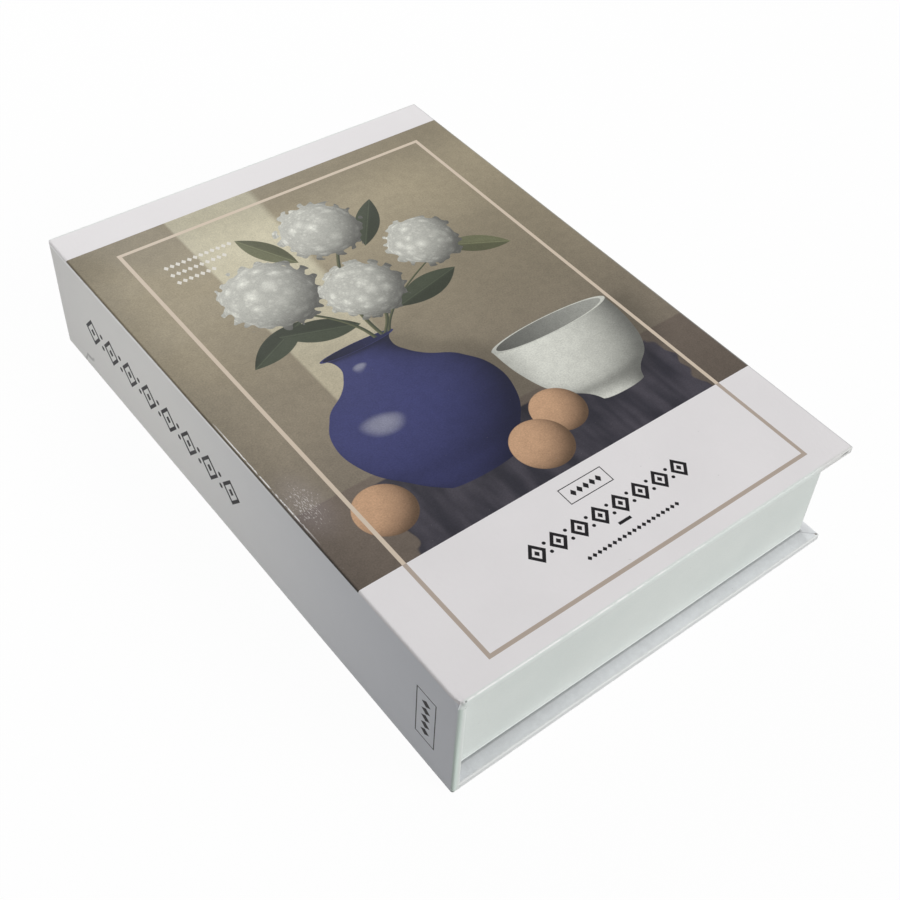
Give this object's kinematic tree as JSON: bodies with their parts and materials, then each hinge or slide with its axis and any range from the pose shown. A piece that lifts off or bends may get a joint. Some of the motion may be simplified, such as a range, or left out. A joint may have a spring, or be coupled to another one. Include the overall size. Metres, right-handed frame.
{
  "type": "book-shaped box",
  "caption": "Rigid greyboard box shaped like a hardback book: a paper-lined tray in a wrapped case, with a hinged front cover that closes on hidden magnets.",
  "frame": {"origin": "middle of the underside of the closed box", "axes": "+X from the spine to the fore edge, +Y from tail to head along the spine, +Z from the back cover up to the front cover"},
  "size_m": [0.17, 0.25, 0.05],
  "materials": {
    "greyboard": "matt",
    "printed_paper": "matt film laminated",
    "liner_paper": "matt",
    "tray_paper": "matt",
    "gummed_tape": "matt",
    "magnet": "nickel plated"
  },
  "bodies": {
    "case": {"back_board": "greyboard", "spine_board": "greyboard", "back_wrap": "printed_paper", "spine_wrap": "printed_paper", "outer_joint": "printed_paper", "inner_joint": "liner_paper", "tray_floor": "greyboard", "tray_head_wall": "greyboard", "tray_tail_wall": "greyboard", "tray_spine_wall": "greyboard", "tray_fore_wall": "greyboard", "rail_wall": "greyboard", "rail_cap": "greyboard", "tray_magnets": "magnet", "corner_stays": "gummed_tape", "tray_wrap": "tray_paper", "tray_liner": "tray_paper"},
    "lid": {"front_board": "greyboard", "front_wrap": "printed_paper", "front_liner": "liner_paper", "lid_magnets": "magnet"}
  },
  "joints": [
    {"name": "lid_hinge", "type": "hinge", "parent": "case", "child": "lid", "pos_m": [-0.0841, 0, 0.0491], "axis": [0, -1, 0], "range_deg": [0, 180], "deforming": ["outer_joint", "inner_joint"]}
  ]
}
